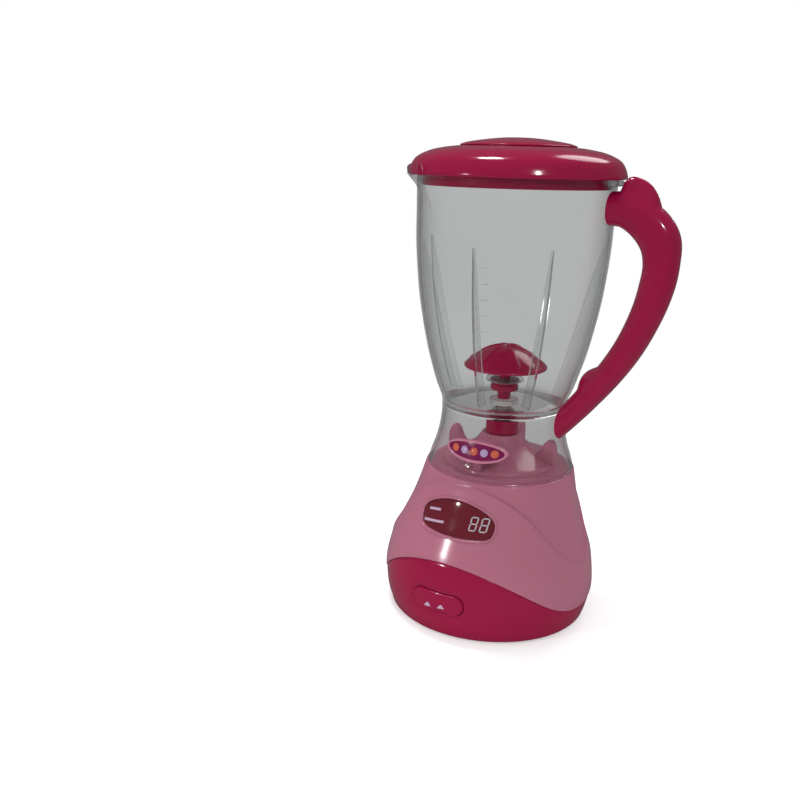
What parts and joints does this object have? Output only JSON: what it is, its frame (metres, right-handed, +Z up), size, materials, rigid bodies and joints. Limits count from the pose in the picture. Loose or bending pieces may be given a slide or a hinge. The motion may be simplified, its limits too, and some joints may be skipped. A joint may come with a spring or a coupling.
{
  "type": "toy blender",
  "caption": "Pretend-kitchen blender with a bell-shaped base, start button, display window, lift-off clear jug with spinning cap, and lift-off lid.",
  "frame": {"origin": "on the jug's vertical axis, at the level of the table", "axes": "+Z up along the jug's axis, -Y out through the control face, +X out along the handle, the pouring lip on -X"},
  "size_m": [0.1527, 0.1187, 0.2595],
  "materials": {
    "pink_plastic": "gloss",
    "magenta_plastic": "gloss",
    "clear_plastic": "clear",
    "window_plastic": "gloss",
    "badge_plastic": "gloss",
    "white_plastic": "satin",
    "dark_plastic": "satin",
    "steel": "satin",
    "brass": "satin",
    "rubber": "matt",
    "cell": "gloss",
    "board": "satin"
  },
  "bodies": {
    "base": {"base_shell": "pink_plastic", "base_band": "magenta_plastic", "deck_turret": "pink_plastic", "output_bush": "brass", "display_frame": "pink_plastic", "display_window": "window_plastic", "bottom_cover": "pink_plastic", "cover_screws": "steel", "door_pin": "steel", "battery_cells": "cell", "battery_contacts": "steel", "push_switch": "dark_plastic", "circuit_board": "board", "display_module": "white_plastic", "gear_plate": "white_plastic", "plate_screws": "steel", "motor": "steel"},
    "battery_lid": {"battery_door": "pink_plastic", "door_screw": "steel"},
    "button": {"start_button": "magenta_plastic"},
    "rotor": {"motor_shaft": "steel", "motor_pinion": "white_plastic"},
    "drive": {"drive_gear": "white_plastic", "drive_shaft": "steel", "drive_dog": "magenta_plastic"},
    "jug": {"jug_shell": "clear_plastic", "badge_rim": "pink_plastic", "badge_plate": "badge_plastic", "handle_back": "magenta_plastic", "handle_front": "magenta_plastic", "handle_screws": "steel", "jug_bush": "white_plastic", "floor_seal": "rubber"},
    "spindle": {"spindle_shaft": "steel", "spool_collar": "magenta_plastic", "steel_washer": "steel", "clear_washer": "clear_plastic", "juicing_cap": "magenta_plastic", "drive_key": "dark_plastic"},
    "lid": {"lid_cover": "magenta_plastic", "lid_disc": "magenta_plastic", "lid_seal": "magenta_plastic"}
  },
  "joints": [
    {"name": "battery_door_swing", "type": "hinge", "parent": "base", "child": "battery_lid", "pos_m": [0, -0.01453, 0.0026], "axis": [-1, 0, 0], "range_deg": [0, 75]},
    {"name": "start_press", "type": "slide", "parent": "base", "child": "button", "axis": [0.0958, 0.9954, 0], "range_m": [0, 0.0025], "stiffness_N_per_m": 500, "springref_m": -0.001},
    {"name": "drive_spin", "type": "hinge", "parent": "base", "child": "drive", "pos_m": [0, 0, 0.07], "axis": [0, 0, 1], "continuous": true},
    {"name": "motor_spin", "type": "hinge", "parent": "base", "child": "rotor", "pos_m": [0, 0.0192, 0.07], "axis": [0, 0, 1], "continuous": true},
    {"name": "jug_lift", "type": "slide", "parent": "base", "child": "jug", "axis": [0, 0, 1], "range_m": [0, 0.06]},
    {"name": "spindle_spin", "type": "hinge", "parent": "jug", "child": "spindle", "pos_m": [0, 0, 0.13], "axis": [0, 0, 1], "continuous": true},
    {"name": "lid_lift", "type": "slide", "parent": "jug", "child": "lid", "axis": [0, 0, 1], "range_m": [0, 0.04]}
  ],
  "couplings": [
    {"joint": "motor_spin", "follows": "drive_spin", "ratio": -3},
    {"joint": "spindle_spin", "follows": "drive_spin", "ratio": 1}
  ]
}
